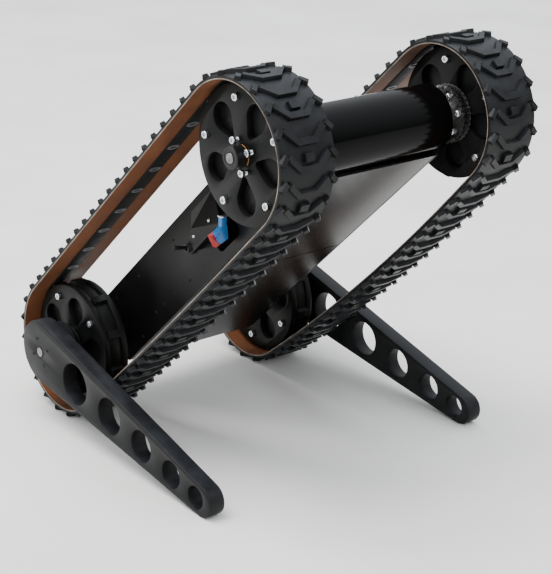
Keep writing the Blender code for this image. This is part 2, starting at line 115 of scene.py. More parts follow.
# ---- body and flippers --------------------------------------------------------------------
PLATE_X = 108.0
TUBE_RADIUS = 41.8
TUBE_BORE = 38.4
TUBE_HALF = 112.0
SWITCH_PLACE = (251.5, 3.5)
BRACKET_X = 121.0
BRACKET_SCREWS = ((325.0, 5.0), (282.0, 5.5))
PLATE_SCREWS = ((LEFT, ((219, 31), (216, -27), (139, -25), (114, -25), (112, 32), (174, -26), (40, 34),
                        (60, -36), (400, -36), (420, 38))),
                (RIGHT, ((219, 31), (216, -27), (139, -25), (112, 32), (40, 34), (60, -36), (300, -36),
                         (400, -36), (300, 38), (400, 38))))
CONNECTOR_X = -130.0
CONNECTOR_PLACE = (341.0, -18.0)
ARM_FACES = (207.2, 230.2)
ARM_LENGTH = 368.7
ARM_ROOT = 43.5
ARM_TIP = 20.2
ARM_HOLES = ((86.6, 27.9), (168.7, 24.7), (241.4, 21.0), (307.0, 17.9), (358.5, 14.7))


# ---- view and light (metres, radians) -----------------------------------------------------
VIEW_PLACE = (-1.2832, -1.6050, 0.9465)
VIEW_TURN = (0.6839, 0.3504, 0.0085)          # yaw, downward pitch, roll
LENS = 103.46
SOFT_LIGHTS = (("high_soft_box", (-1.0, 0.6, 3.2), (0.0, 0.0, 0.2), 2.4, 110.0),
               ("front_fill", (-2.6, -2.2, 1.6), (0.0, 0.0, 0.3), 1.2, 10.0))


# ---- layouts ------------------------------------------------------------------------------
class Layout:
    """Where millimetre shapes stand in the world: an origin and the direction of u."""

    def __init__(self, origin, along):
        self.origin = Vector((0.0, origin.y, origin.z))
        self.along = Vector((0.0, along.y, along.z)).normalized()
        self.up = Vector((0.0, self.along.z, -self.along.y))

    def offset(self, x, u, v):
        return (Vector((x, 0.0, 0.0)) + self.along * u + self.up * v) * MM

    def at(self, x, u, v):
        return self.origin + self.offset(x, u, v)


idler_place = JOINTS["left_idler_wheel_spin"]
drive_place = JOINTS["left_drive_wheel_spin"]
CHASSIS = Layout(idler_place, drive_place - idler_place)
DRIVE = Layout(drive_place, drive_place - idler_place)
AXLE_DISTANCE = (drive_place - idler_place).length / MM
PITCH = AXLE_DISTANCE / RUN_PITCHES
WRAP = WHEEL_TEETH / 2 * PITCH
LOOP = 2 * (WRAP + AXLE_DISTANCE)
drop = math.asin((idler_place.z / MM - ARM_TIP) / ARM_LENGTH)
FLIPPER = Layout(idler_place, Vector((0.0, -math.cos(drop), -math.sin(drop))))
HANG = Layout(CHASSIS.at(0.0, *CONNECTOR_PLACE), Vector((0.0, -1.0, 0.0)))


# ---- materials ----------------------------------------------------------------------------
def nodes_of(name):
    found = bpy.data.materials.new(name)
    found.use_nodes = True
    tree = found.node_tree
    return found, tree, tree.nodes["Principled BSDF"]


def add_noise(tree, scale, detail, stretch=(1.0, 1.0, 1.0)):
    place = tree.nodes.new("ShaderNodeTexCoord")
    mapping = tree.nodes.new("ShaderNodeMapping")
    mapping.inputs["Scale"].default_value = stretch
    noise = tree.nodes.new("ShaderNodeTexNoise")
    noise.inputs["Scale"].default_value = scale
    noise.inputs["Detail"].default_value = detail
    tree.links.new(place.outputs["Object"], mapping.inputs["Vector"])
    tree.links.new(mapping.outputs["Vector"], noise.inputs["Vector"])
    return noise.outputs["Fac"]


def add_ramp(tree, source, low, high, first, last):
    """Colour ramp from first to last as the source goes from low to high."""
    ramp = tree.nodes.new("ShaderNodeValToRGB")
    ramp.color_ramp.elements[0].position = low
    ramp.color_ramp.elements[0].color = (*first, 1.0)
    ramp.color_ramp.elements[1].position = high
    ramp.color_ramp.elements[1].color = (*last, 1.0)
    tree.links.new(source, ramp.inputs["Fac"])
    return ramp.outputs["Color"]


def add_mix(tree, factor, first, second):
    mix = tree.nodes.new("ShaderNodeMix")
    mix.data_type = "RGBA"
    tree.links.new(factor, mix.inputs["Factor"])
    tree.links.new(first, mix.inputs["A"])
    tree.links.new(second, mix.inputs["B"])
    return mix.outputs["Result"]


def add_range(tree, source, low, high, to_low, to_high):
    remap = tree.nodes.new("ShaderNodeMapRange")
    for socket, value in (("From Min", low), ("From Max", high), ("To Min", to_low), ("To Max", to_high)):
        remap.inputs[socket].default_value = value
    tree.links.new(source, remap.inputs["Value"])
    return remap.outputs["Result"]


def grey(value):
    return (value, value, value)


def surface(name, dark, light, rough, patch=60.0, grain=900.0, bump=0.15, depth=0.0002, metallic=0.0,
            specular=0.5, dust_and_sheen=0.0, dust_and_sheen_colour=(0.3, 0.29, 0.27), stretch=(1.0, 1.0, 1.0)):
    """Material with colour patches, a fine grain bump, uneven gloss and a lighter tone on what faces up: dust
    in the default colour, and a painted bluish sky sheen where a bluish colour is given.
    """
    found, tree, shader = nodes_of(name)
    patches = add_noise(tree, patch, 6.0, stretch)
    fine = add_noise(tree, grain, 3.0, stretch)
    colour = add_ramp(tree, patches, 0.3, 0.7, dark, light)
    # Up-facing faces get a lighter tone mixed into the colour: real dust, plus a painted sky sheen when the
    # colour given is bluish.
    if dust_and_sheen:
        geometry = tree.nodes.new("ShaderNodeNewGeometry")
        split = tree.nodes.new("ShaderNodeSeparateXYZ")
        tree.links.new(geometry.outputs["Normal"], split.inputs["Vector"])
        facing = add_range(tree, split.outputs["Z"], -0.2, 1.0, 0.0, dust_and_sheen)
        speckle = add_range(tree, patches, 0.35, 0.65, 0.3, 1.0)
        amount = tree.nodes.new("ShaderNodeMath")
        amount.operation = "MULTIPLY"
        tree.links.new(facing, amount.inputs[0])
        tree.links.new(speckle, amount.inputs[1])
        dust_and_sheen_tone = add_ramp(tree, fine, 0.3, 0.7, [c * 0.8 for c in dust_and_sheen_colour], dust_and_sheen_colour)
        colour = add_mix(tree, amount.outputs["Value"], colour, dust_and_sheen_tone)
    tree.links.new(colour, shader.inputs["Base Color"])
    tree.links.new(add_range(tree, patches, 0.3, 0.7, rough[0], rough[1]), shader.inputs["Roughness"])
    bumps = tree.nodes.new("ShaderNodeBump")
    bumps.inputs["Strength"].default_value = bump
    bumps.inputs["Distance"].default_value = depth
    tree.links.new(fine, bumps.inputs["Height"])
    tree.links.new(bumps.outputs["Normal"], shader.inputs["Normal"])
    shader.inputs["Metallic"].default_value = metallic
    shader.inputs["Specular IOR Level"].default_value = specular
    return found


def woven(name, dark, light, thread):
    """Fabric ply: crossed threads with painted shade in the weave's hollows, rubbed and stained in patches.
    """
    found, tree, shader = nodes_of(name)
    place = tree.nodes.new("ShaderNodeTexCoord")
    heights = []
    for direction in ("X", "Z"):
        wave = tree.nodes.new("ShaderNodeTexWave")
        wave.bands_direction = direction
        wave.inputs["Scale"].default_value = thread
        wave.inputs["Distortion"].default_value = 0.6
        tree.links.new(place.outputs["Object"], wave.inputs["Vector"])
        heights.append(wave.outputs["Fac"])
    weave = tree.nodes.new("ShaderNodeMath")
    weave.operation = "MULTIPLY"
    tree.links.new(heights[0], weave.inputs[0])
    tree.links.new(heights[1], weave.inputs[1])
    stains = add_noise(tree, 35.0, 8.0)
    colour = add_ramp(tree, stains, 0.3, 0.72, dark, light)
    # Darker between the threads, lighter on their crowns: painted shade following the weave's relief.
    shade = add_ramp(tree, weave.outputs["Value"], 0.0, 0.5, [c * 0.7 for c in dark], light)
    strength = tree.nodes.new("ShaderNodeMix")
    strength.data_type = "RGBA"
    strength.inputs["Factor"].default_value = 0.25
    tree.links.new(colour, strength.inputs["A"])
    tree.links.new(shade, strength.inputs["B"])
    tree.links.new(strength.outputs["Result"], shader.inputs["Base Color"])
    tree.links.new(add_range(tree, stains, 0.3, 0.7, 0.55, 0.8), shader.inputs["Roughness"])
    bumps = tree.nodes.new("ShaderNodeBump")
    bumps.inputs["Strength"].default_value = 0.35
    bumps.inputs["Distance"].default_value = 0.0003
    tree.links.new(weave.outputs["Value"], bumps.inputs["Height"])
    tree.links.new(bumps.outputs["Normal"], shader.inputs["Normal"])
    return found


# Its up-facing tone is dust plus a painted bluish sky sheen on the tread tops.
RUBBER = surface("track_rubber", grey(0.003), (0.007, 0.007, 0.0075), (0.32, 0.46), 45.0, 700.0, 0.5, 0.0004,
                 specular=0.16, dust_and_sheen=0.3, dust_and_sheen_colour=(0.06, 0.066, 0.078))
GUIDE_RUBBER = surface("guide_rubber", grey(0.006), grey(0.014), (0.5, 0.7), 70.0, 600.0, 0.4, 0.0003,
                       specular=0.1)
# Lighter grey for the lips round the tooth seats: a painted highlight standing in for the lit seat rims.
SEAT_RIM_HIGHLIGHT = surface("seat_rim_painted_highlight", grey(0.07), grey(0.13), (0.3, 0.5), 70.0, 600.0, 0.4, 0.0003)
FABRIC = woven("belt_fabric", (0.095, 0.026, 0.005), (0.19, 0.058, 0.012), 420.0)
PLY = surface("belt_ply_edge", (0.08, 0.06, 0.045), (0.3, 0.24, 0.2), (0.6, 0.8), 50.0, 1500.0, 0.4)
NYLON = surface("wheel_nylon", (0.003, 0.0035, 0.003), (0.007, 0.0075, 0.007), (0.34, 0.46), 30.0,
                1200.0, 0.12, 0.0001, specular=0.12, dust_and_sheen=0.02)
# Its bluish up-facing tone is a painted sky sheen on the flippers' top edges.
ARM_NYLON = surface("flipper_nylon", (0.005, 0.0052, 0.005), (0.009, 0.0093, 0.009), (0.36, 0.48), 40.0,
                    1500.0, 0.15, 0.0001, specular=0.12, dust_and_sheen=0.3, dust_and_sheen_colour=(0.035, 0.038, 0.052))
PAINT = surface("black_enamel", grey(0.003), grey(0.005), (0.2, 0.25), 8.0, 350.0, 0.02, 0.0001,
                specular=0.25, dust_and_sheen=0.01)
TUBE_PAINT = surface("tube_enamel", grey(0.001), grey(0.002), (0.1, 0.13), 8.0, 250.0, 0.01, 0.0001,
                     specular=0.07)
PLATE_PAINT = surface("satin_enamel", grey(0.002), grey(0.004), (0.3, 0.42), 20.0, 600.0, 0.08, 0.0002,
                      specular=0.16, dust_and_sheen=0.02)
ZINC = surface("zinc_plate", (0.55, 0.57, 0.6), (0.8, 0.82, 0.84), (0.16, 0.3), 500.0, 2500.0, 0.1, 0.0001,
               metallic=1.0)
STEEL = surface("machined_steel", (0.16, 0.155, 0.15), (0.3, 0.295, 0.285), (0.3, 0.45), 80.0, 1500.0, 0.2,
                0.0001, metallic=1.0)
CHAIN = surface("oiled_chain", (0.14, 0.135, 0.13), (0.34, 0.335, 0.33), (0.25, 0.4), 300.0, 1500.0, 0.1,
                metallic=1.0)
BLACK_STEEL = surface("black_oxide", grey(0.008), grey(0.016), (0.3, 0.5), 120.0, 1200.0, 0.15, metallic=0.3,
                      specular=0.3)
BRONZE = surface("sintered_bronze", (0.32, 0.15, 0.05), (0.55, 0.28, 0.1), (0.25, 0.4), 200.0, 2500.0, 0.3,
                 metallic=1.0)
ALUMINIUM = surface("bare_aluminium", grey(0.4), grey(0.55), (0.3, 0.45), 60.0, 1200.0, 0.2, metallic=1.0,
                    stretch=(0.1, 1.0, 1.0))
BLUE = surface("blue_housing", (0.01, 0.14, 0.42), (0.02, 0.22, 0.58), (0.25, 0.4), 150.0, 1500.0, 0.15)
RED = surface("red_housing", (0.42, 0.012, 0.016), (0.6, 0.03, 0.03), (0.25, 0.4), 150.0, 1500.0, 0.15)
TIN = surface("tin_plate", grey(0.55), grey(0.8), (0.2, 0.35), 300.0, 2000.0, 0.15, metallic=1.0)
BLACK_PLASTIC = surface("black_plastic", grey(0.012), grey(0.025), (0.35, 0.5), 120.0, 1500.0, 0.3)
WRAP_FILM = surface("battery_wrap_film", (0.004, 0.004, 0.006), (0.008, 0.008, 0.012), (0.3, 0.45), 50.0,
                    400.0, 0.3, specular=0.2)
CONCRETE = surface("pale_floor", (0.76, 0.745, 0.71), (0.85, 0.835, 0.8), (0.7, 0.9), 3.0, 220.0, 0.15,
                   0.0006)


# ---- mesh tools ---------------------------------------------------------------------------
def polar(radius, degrees, centre=(0.0, 0.0)):
    angle = math.radians(degrees)
    return centre[0] + radius * math.cos(angle), centre[1] + radius * math.sin(angle)


def arc(centre, radius, start, end, count):
    return [polar(radius, start + (end - start) * i / count, centre) for i in range(count + 1)]


def circle(centre, radius, count=48):
    return arc(centre, radius, 0.0, 360.0, count)[:-1]


def capsule(first, first_radius, second, second_radius, heading, counts):
    """Tapered slot outline round two circles, the second one lying at heading degrees."""
    span = math.hypot(second[0] - first[0], second[1] - first[1])
    lean = math.degrees(math.acos((first_radius - second_radius) / span))
    return (arc(second, second_radius, heading - lean, heading + lean, counts[1])
            + arc(first, first_radius, heading + lean, heading + 360.0 - lean, counts[0]))


def add_rings(bm, rings, closed=True, looks=None):
    """Skin between successive rings of (x, u, v) points; looks gives a material for each point gap."""
    made = [[bm.verts.new(point) for point in ring] for ring in rings]
    pairs = list(zip(made, made[1:]))
    if closed:
        pairs.append((made[-1], made[0]))
    for near, far in pairs:
        for k in range(len(near)):
            m = (k + 1) % len(near)
            face = bm.faces.new((near[k], near[m], far[m], far[k]))
            if looks:
                face.material_index = looks[k]
    if not closed:
        bm.faces.new(made[0])
        bm.faces.new(made[-1])


def add_turned(bm, profile, centre=(0.0, 0.0), count=48):
    """Solid turned about X from an (x, radius) or (x, radius, sides) profile; radius 0 closes it."""
    rings = []
    for i in range(count):
        angle = 360.0 * i / count
        ring = []
        for point in profile:
            radius = point[1]
            if len(point) == 3:
                half = 180.0 / point[2]
                radius *= math.cos(math.radians(half)) / math.cos(math.radians(angle % (2 * half) - half))
            ring.append((point[0], *polar(radius, angle, centre)))
        rings.append(ring)
    made = [[bm.verts.new(point) for point in ring] for ring in rings]
    for i, near in enumerate(made):
        far = made[(i + 1) % count]
        for k in range(len(profile)):
            m = (k + 1) % len(profile)
            if profile[k][1] < 1e-6 and profile[m][1] < 1e-6:
                continue
            bm.faces.new((near[k], near[m], far[m], far[k]))


def sided(profile, side):
    return [(side * x, radius) for x, radius in profile]


def add_plate(bm, outlines, x0, x1, edge):
    """Flat plate with rounded edges: the first outline is its rim and the others are openings."""
    curve = bpy.data.curves.new("outline", "CURVE")
    curve.dimensions = "2D"
    curve.fill_mode = "BOTH"
    curve.extrude = abs(x1 - x0) / 2 - edge
    curve.bevel_depth = edge
    curve.bevel_resolution = 1
    curve.offset = -edge
    for outline in outlines:
        spline = curve.splines.new("POLY")
        spline.points.add(len(outline) - 1)
        for point, (u, v) in zip(spline.points, outline):
            point.co = (u, v, 0.0, 1.0)
        spline.use_cyclic_u = True
    item = bpy.data.objects.new("outline", curve)
    bpy.context.scene.collection.objects.link(item)
    graph = bpy.context.evaluated_depsgraph_get()
    mesh = bpy.data.meshes.new_from_object(item.evaluated_get(graph))
    for vert in mesh.vertices:
        vert.co = ((x0 + x1) / 2 + vert.co.z, vert.co.x, vert.co.y)
    bm.from_mesh(mesh)
    bpy.data.objects.remove(item)
    bpy.data.meshes.remove(mesh)


def add_block(bm, x0, x1, u0, u1, v0, v1, edge):
    add_plate(bm, [[(u0, v0), (u1, v0), (u1, v1), (u0, v1)]], x0, x1, edge)


def piece(name, bm, layout, looks, body, replaces=(), sharp=32.0):
    """Object from a bmesh in layout millimetres, riding on a CAD body."""
    for vert in bm.verts:
        vert.co = layout.offset(*vert.co)
    bmesh.ops.remove_doubles(bm, verts=bm.verts, dist=2e-6)
    bmesh.ops.dissolve_degenerate(bm, edges=bm.edges, dist=1e-6)
    bmesh.ops.recalc_face_normals(bm, faces=bm.faces)
    mesh = bpy.data.meshes.new(name)
    bm.to_mesh(mesh)
    bm.free()
    item = bpy.data.objects.new(name, mesh)
    bpy.context.scene.collection.objects.link(item)
    item.location = layout.origin
    for look in looks if isinstance(looks, list) else [looks]:
        mesh.materials.append(look)
    mesh.shade_smooth()
    mesh.set_sharp_from_angle(angle=math.radians(sharp))
    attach(item, body)
    if replaces:
        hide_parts(*replaces)
    return item


def dress(look, names):
    """Give the CAD nodes that stay visible a detailed material."""
    for name in names:
        mesh = frame["nodes"][name].data
        mesh.materials.clear()
        mesh.materials.append(look)


# ---- fasteners ----------------------------------------------------------------------------
def add_socket_screw(bm, face, out, centre, radius=BOLT_HEAD, height=4.2, stand=0.0):
    """Cap screw on a face at x, its head pointing out; stand shows that much thread below the head."""
    profile = [(face, 0.0), (face, radius * 0.62)]
    for i in range(int(stand)):
        profile += [(face + out * (i + 0.3), radius * 0.62), (face + out * (i + 0.7), radius * 0.5)]
    base = face + out * stand
    top = base + out * height
    profile += [(base, radius * 0.62), (base, radius - 0.3), (base + out * 0.3, radius),
                (top - out * 0.7, radius), (top, radius - 0.7), (top, radius * 0.56, 6),
                (top - out * 2.2, radius * 0.52, 6), (top - out * 2.4, 0.0)]
    add_turned(bm, profile, centre, SCREW_SIDES)


def add_washer(bm, face, out, centre, radius=5.6, bore=3.0):
    top = face + out * WASHER_THICKNESS
    profile = [(face, bore), (face, radius), (top - out * 0.2, radius), (top, radius - 0.2), (top, bore)]
    add_turned(bm, profile, centre, SCREW_SIDES)


def add_dome_screw(bm, face, out, centre, radius=2.3):
    """Button-head screw on a face at x, with a hex socket."""
    profile = [(face, 0.0), (face, radius), (face + out * 0.7, radius * 0.9),
               (face + out * 1.3, radius * 0.6), (face + out * 1.35, radius * 0.35, 6),
               (face + out * 0.6, radius * 0.33, 6), (face + out * 0.6, 0.0)]
    add_turned(bm, profile, centre, 16)


# ---- tracks -------------------------------------------------------------------------------
def track_point(distance, radius, side):
    """Point of the loop at a belt distance from the idler's underside, at a radius."""
    s = distance % LOOP
    if s < WRAP:
        return polar(radius, 270.0 - 180.0 * s / WRAP)
    s -= WRAP
    if s < AXLE_DISTANCE:
        return s, radius
    s -= AXLE_DISTANCE
    if s < WRAP:
        return polar(radius, 90.0 - 180.0 * s / WRAP, (AXLE_DISTANCE, 0.0))
    t = (s - WRAP) / AXLE_DISTANCE
    return AXLE_DISTANCE * (1.0 - t), -radius - 4.0 * SAG[side] * t * (1.0 - t)


def loop_stations():
    """Belt distances of the cross-sections, closer together on the wheels."""
    wraps, runs = 48, 24
    stations = [WRAP * i / wraps for i in range(wraps)]
    stations += [WRAP + AXLE_DISTANCE * i / runs for i in range(runs)]
    stations += [WRAP + AXLE_DISTANCE + WRAP * i / wraps for i in range(wraps)]
    stations += [2 * WRAP + AXLE_DISTANCE * (1.0 + i / runs) for i in range(runs)]
    return stations


def loop_rings(section, side):
    """An (x, radius) cross-section carried round the whole loop."""
    rings = []
    for station in loop_stations():
        ring = []
        for x, radius in section:
            u, v = track_point(station, radius, side)
            ring.append((side * TRACK_X + x, u, v))
        rings.append(ring)
    return rings


def add_lug(bm, side, base, top, base_radius, top_radius):
    """Closed lug on the belt from (x, distance) outlines of its base and its top, with a broken edge."""
    middle = []
    for (bx, bs), (tx, ts) in zip(base, top):
        middle.append((tx + (bx - tx) * LUG_EDGE[0], ts + (bs - ts) * LUG_EDGE[0]))
    low = top_radius - (top_radius - base_radius) * LUG_EDGE[1]
    rings = []
    for outline, radius in ((base, base_radius), (middle, low), (top, top_radius)):
        ring = []
        for x, s in outline:
            u, v = track_point(s, radius, side)
            ring.append((side * TRACK_X + x, u, v))
        rings.append(ring)
    add_rings(bm, rings, closed=False)


def ribbon(line, half, grow=0.0):
    """Closed outline round a polyline of (x, distance) points, half its width to each side."""
    forward, back = [], []
    for i, point in enumerate(line):
        before = line[max(i - 1, 0)]
        after = line[min(i + 1, len(line) - 1)]
        heading = Vector((after[0] - before[0], after[1] - before[1])).normalized()
        normal = Vector((-heading.y, heading.x))
        if 0 < i < len(line) - 1:
            leg = Vector((point[0] - before[0], point[1] - before[1])).normalized()
            normal /= max(0.5, Vector((-leg.y, leg.x)).dot(normal))
        end = heading * grow * ((i == len(line) - 1) - (i == 0))
        spot = Vector(point) + end
        forward.append(tuple(spot + normal * half))
        back.append(tuple(spot - normal * half))
    return forward + back[::-1]


def add_cleats(bm, side):
    """Chevrons with a lug at each edge; every second chevron cups a block."""
    half = PITCH / 2
    for i in range(round(LOOP / half)):
        start = i * half + SHIFT[side]
        chevron = [(-27.5, start - 6.6), (-12.2, start + 6.5), (12.2, start + 6.5), (27.5, start - 6.6)]
        add_lug(bm, side, ribbon(chevron, 4.3, 0.8), ribbon(chevron, 3.1, -0.3), CLEAT_BASE, CLEAT_TOP)
        for hand in (LEFT, RIGHT):
            stub = [(hand * 31.2, start - 9.0), (hand * 38.4, start - 1.6)]
            add_lug(bm, side, ribbon(stub, 4.1, 0.5), ribbon(stub, 2.9, 0.1), CLEAT_BASE, CLEAT_TOP - 0.2)
        if i % 2 == 0:
            block = [(-6.2, start - 4.6), (6.2, start - 4.6)]
            add_lug(bm, side, ribbon(block, 4.9, 0.8), ribbon(block, 4.1, 0.0), CLEAT_BASE, CLEAT_TOP)


def track_belt(label, side):
    """Belt body: fabric face inside, ply line at its edges, rubber outside with the cleats on it."""
    rim = HALF_WIDTH
    section = ((-rim + 0.4, BELT_INNER), (-GUIDE_HALF_WIDTH, BELT_INNER), (GUIDE_HALF_WIDTH, BELT_INNER),
               (rim - 0.4, BELT_INNER), (rim, BELT_INNER + 0.4), (rim, BELT_PLY), (rim, BELT_OUTER - 0.9),
               (rim - 0.9, BELT_OUTER), (0.0, BELT_OUTER), (-rim + 0.9, BELT_OUTER), (-rim, BELT_OUTER - 0.9),
               (-rim, BELT_PLY), (-rim, BELT_INNER + 0.4))
    looks = (1, 1, 1, 2, 2, 0, 0, 0, 0, 0, 0, 2, 2)
    bm = bmesh.new()
    add_rings(bm, loop_rings(section, side), looks=looks)
    piece(label + "_belt", bm, CHASSIS, [RUBBER, FABRIC, PLY], "chassis",
          [label + "_track_belt"])
    bm = bmesh.new()
    add_cleats(bm, side)
    piece(label + "_belt_cleats", bm, CHASSIS, RUBBER, "chassis", sharp=24.0)


def guide_strip(label, side):
    """Thin strip down the middle of the belt's inner face, with an oval lip round each tooth seat whose
    lighter grey paints the highlight on the seat's rim.
    """
    wall = GUIDE_HALF_WIDTH
    section = ((-wall, BELT_INNER + 0.2), (-wall, GUIDE_FACE + 0.5), (-wall + 0.7, GUIDE_FACE),
               (0.0, GUIDE_FACE), (wall - 0.7, GUIDE_FACE), (wall, GUIDE_FACE + 0.5),
               (wall, BELT_INNER + 0.2))
    strip, lips = bmesh.new(), bmesh.new()
    add_rings(strip, loop_rings(section, side))
    for i in range(round(LOOP / PITCH)):
        seat = i * PITCH + SHIFT[side]
        for hand, bulge in ((LEFT, 4.4), (RIGHT, 3.2)):
            line = [(x, seat + hand * bulge * math.cos(x / LIP_REACH * math.pi / 2))
                    for x in (-8, -5, -2, 2, 5, 8)]
            add_lug(lips, side, ribbon(line, 1.5), ribbon(line, 0.9), GUIDE_FACE + 0.3, LIP_TOP)
    piece(label + "_guide", strip, CHASSIS, GUIDE_RUBBER, "chassis", [label + "_track_guide"],
          sharp=50.0)
    # The lips' lighter grey is a painted highlight on each seat's rim.
    piece(label + "_seat_lips", lips, CHASSIS, SEAT_RIM_HIGHLIGHT, "chassis")


# ---- wheels -------------------------------------------------------------------------------
def teardrops(phase):
    """Lightening pockets, narrow towards the hub, halfway between the rim bolts."""
    outlines = []
    for i in range(SPOKES):
        angle = phase + (i + 0.5) * 360.0 / SPOKES
        wide, narrow = polar(POCKET_WIDE[0], angle), polar(POCKET_NARROW[0], angle)
        outlines.append(capsule(wide, POCKET_WIDE[1], narrow, POCKET_NARROW[1], angle + 180.0, (28, 8)))
    return outlines


def toothed_outline(phase):
    """Core rim with its teeth, one of them half a step past the first rim bolt."""
    step = 360.0 / WHEEL_TEETH
    half = math.degrees(TOOTH_LENGTH / 2 / TOOTH_RADIUS)
    outline = []
    for i in range(WHEEL_TEETH):
        middle = phase + step * (i + 0.5)
        outline += arc((0.0, 0.0), TOOTH_RADIUS, middle - half, middle + half, 4)
        outline += arc((0.0, 0.0), CORE_RADIUS, middle + half + 1.1, middle + step - half - 1.1, 12)
    return outline


def node_faces(node):
    """The inner and outer x of a wheel's disc or core, in millimetres, without its bolt heads."""
    low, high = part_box(node)
    near, far = sorted((abs(low.x) / MM, abs(high.x) / MM))
    return near, far


def wheel(label, side, kind, layout, bore):
    """Toothed core between two discs with pockets, clamped by screws from both sides."""
    body = label + "_" + kind + "_wheel"
    phase = BOLT_PHASE[label + "_" + kind]
    core_inner, core_outer = node_faces(body + "_core")
    disc_outer = core_outer + CLAMP_GAP + DISC_THICKNESS
    disc_inner = node_faces(body + "_inner_disc")[0] + BOLT_STAND
    hole = circle((0, 0), bore)
    bm = bmesh.new()
    add_plate(bm, [toothed_outline(phase), hole], side * core_inner, side * core_outer, CORE_EDGE)
    piece(body + "_toothed_core", bm, layout, NYLON, body, [body + "_core"])
    faces = (("outer", core_outer + CLAMP_GAP, disc_outer), ("inner", core_inner - CLAMP_GAP, disc_inner))
    for hand, clamped, free in faces:
        bm = bmesh.new()
        add_plate(bm, [circle((0, 0), WHEEL_RADIUS, 120), hole, *teardrops(phase)], side * clamped,
                  side * free, DISC_EDGE)
        piece(f"{body}_{hand}_face", bm, layout, NYLON, body, [f"{body}_{hand}_disc"])
    screws, washers = bmesh.new(), bmesh.new()
    for i in range(SPOKES):
        centre = polar(RIM_BOLT_CIRCLE, phase + 360.0 * i / SPOKES)
        for face, out in ((disc_outer, side), (disc_inner, -side)):
            add_washer(washers, side * face, out, centre)
            add_socket_screw(screws, side * face + out * WASHER_THICKNESS, out, centre)
    piece(body + "_rim_screws", screws, layout, ZINC, body)
    piece(body + "_rim_washers", washers, layout, BLACK_STEEL, body)
    return body, disc_outer


def drive_wheel(label, side):
    """Driven wheel with its axle, collar, bronze washer and the long screws round its hub."""
    body, outer = wheel(label, side, "drive", DRIVE, DRIVE_BORE)
    bm = bmesh.new()
    for i in range(4):
        centre = polar(HUB_BOLT_CIRCLE, HUB_BOLT_PHASE + 90.0 * i)
        add_socket_screw(bm, side * (outer - 1.0), side, centre, 4.6, 4.4, 6.0)
    piece(body + "_hub_screws", bm, DRIVE, ZINC, body)
    bm = bmesh.new()
    add_turned(bm, sided(COLLAR, side), count=64)
    piece(body + "_shaft_collar", bm, DRIVE, BLACK_STEEL, body, [label + "_axle_collar"])
    bm = bmesh.new()
    add_turned(bm, sided(AXLE, side))
    piece(body + "_axle_bar", bm, DRIVE, STEEL, body, [label + "_drive_axle"])
    bm = bmesh.new()
    add_turned(bm, sided(THRUST_WASHER, side))
    piece(body + "_bronze_washer", bm, DRIVE, BRONZE, body, [label + "_thrust_washer"])
    sprockets(label, side, body)


def sprocket_outline():
    """Chain wheel: a seat for each roller, with a rounded tooth between two seats."""
    pitch_radius = CHAIN_PITCH / 2 / math.sin(math.pi / SPROCKET_TEETH)
    step = 360.0 / SPROCKET_TEETH
    outline = []
    for i in range(SPROCKET_TEETH):
        for turn, height in ((0.0, -1.7), (0.18, -1.3), (0.36, 0.6), (0.45, 1.5), (0.55, 1.5), (0.64, 0.6),
                             (0.82, -1.3)):
            outline.append(polar(pitch_radius + height, step * (i + turn)))
    return outline, pitch_radius


def chain_wheels(label, side, body):
    """Two chain wheels side by side, each on its hub, with cap screws in the inner one."""
    outline, pitch_radius = sprocket_outline()
    half = CHAIN_WHEEL_WIDTH / 2
    for name, row, hub, face in CHAIN_WHEELS:
        bm = bmesh.new()
        add_plate(bm, [outline, circle((0, 0), DRIVE_BORE)], side * (row - half), side * (row + half), 0.3)
        near, far = sorted((row, face))
        add_plate(bm, [circle((0, 0), hub, 64), circle((0, 0), DRIVE_BORE)], side * near, side * far, 0.5)
        piece(f"{body}_{name}_chainwheel", bm, DRIVE, STEEL, body,
              [f"{label}_{name}_sprocket"])
    bm = bmesh.new()
    for i in range(6):
        centre = polar(25.0, 30.0 + 60.0 * i)
        add_socket_screw(bm, side * (CHAIN_ROWS[0] - half), -side, centre, 4.0, 3.6)
    piece(body + "_chainwheel_screws", bm, DRIVE, ZINC, body)
    return pitch_radius


def add_pin(bm, side, near, far, radius, chamfer, centre, sides):
    """Chain roller or pin from near to far, its end drawn out by a chamfer."""
    profile = [(side * near, 0.0), (side * near, radius), (side * far, radius), (side * (far + chamfer), 0.0)]
    add_turned(bm, profile, centre, sides)


def sprockets(label, side, body):
    """The chain wheels and the double chain wrapped round both: rollers, pins and link plates."""
    pitch_radius = chain_wheels(label, side, body)
    step = 360.0 / SPROCKET_TEETH
    gap = (CHAIN_ROWS[1] - CHAIN_ROWS[0]) / 2
    middle = sum(CHAIN_ROWS) / 2
    bm = bmesh.new()
    for i in range(SPROCKET_TEETH):
        pin = polar(pitch_radius, step * i)
        after = polar(pitch_radius, step * (i + 1))
        for row in CHAIN_ROWS:
            add_pin(bm, side, row - 1.5, row + 1.5, 1.65, 0.0, pin, 10)
        for end in (-1, 1):
            add_pin(bm, side, middle, middle + end * (gap + 3.2), 1.15, end * 0.3, pin, 8)
        heading = step * (i + 0.5) + 90.0
        lift = 0.35 * (i % 2)
        link = link_outline(pin, after, heading)
        for plate in (middle - gap - 2.3 - lift, middle, middle + gap + 2.3 + lift):
            add_plate(bm, [link], side * (plate - 0.35), side * (plate + 0.35), 0.1)
    piece(body + "_roller_chain", bm, DRIVE, CHAIN, body, [label + "_coupling_chain"])


def link_outline(first, second, heading):
    """Waisted link plate round two chain pins."""
    waist = ((first[0] + second[0]) / 2, (first[1] + second[1]) / 2)
    side_point = [polar(1.9, heading + sign * 90.0, waist) for sign in (-1, 1)]
    return (arc(second, 2.75, heading - 70.0, heading + 70.0, 6) + [side_point[1]]
            + arc(first, 2.75, heading + 110.0, heading + 250.0, 6) + [side_point[0]])


